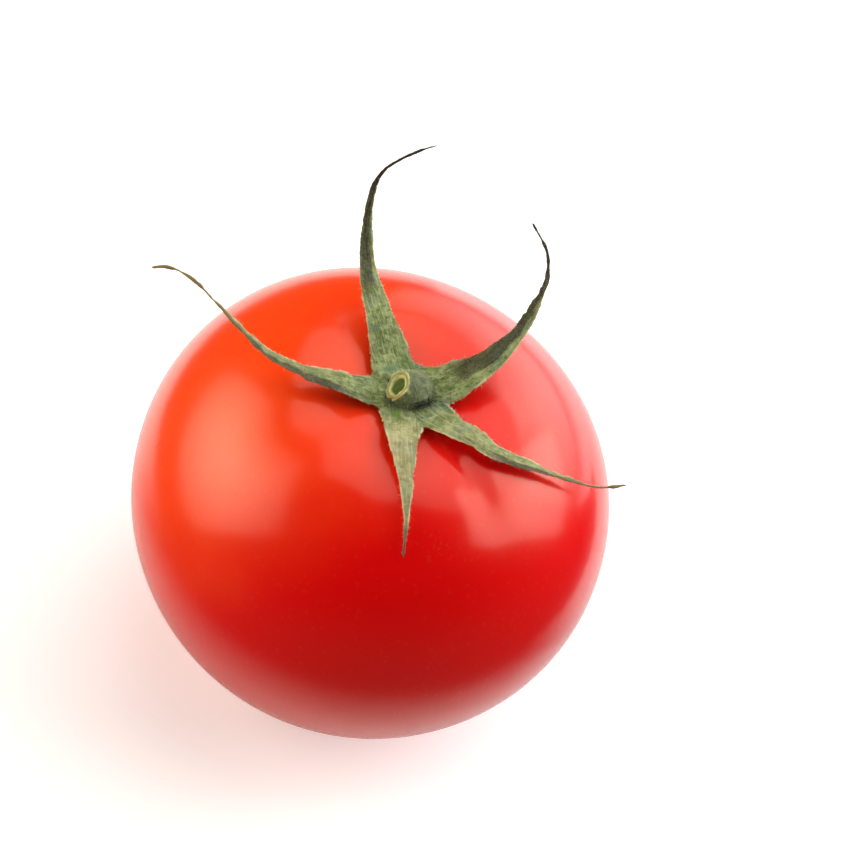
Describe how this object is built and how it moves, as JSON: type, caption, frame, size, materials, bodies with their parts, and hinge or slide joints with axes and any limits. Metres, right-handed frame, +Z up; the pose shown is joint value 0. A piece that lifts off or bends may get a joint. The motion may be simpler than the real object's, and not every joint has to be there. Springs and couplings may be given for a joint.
{
  "type": "tomato",
  "caption": "Ripe round red tomato with a green star-shaped calyx and a short cut stalk; it stands on a small flat spot, calyx up.",
  "frame": {"origin": "middle of the small flat spot at the blossom end, on which the fruit rests", "axes": "+Z up along the stem axis, from the blossom end to the calyx; -Y is the side that faces the viewer in the picture, +X is to the viewer's right"},
  "size_m": [0.0764, 0.0718, 0.081],
  "materials": {
    "skin": "glossy, smooth and waxy, with light under the skin",
    "green": "matt, finely haired and mottled"
  },
  "bodies": {
    "root": {"fruit": "skin", "calyx": "green"}
  },
  "joints": []
}
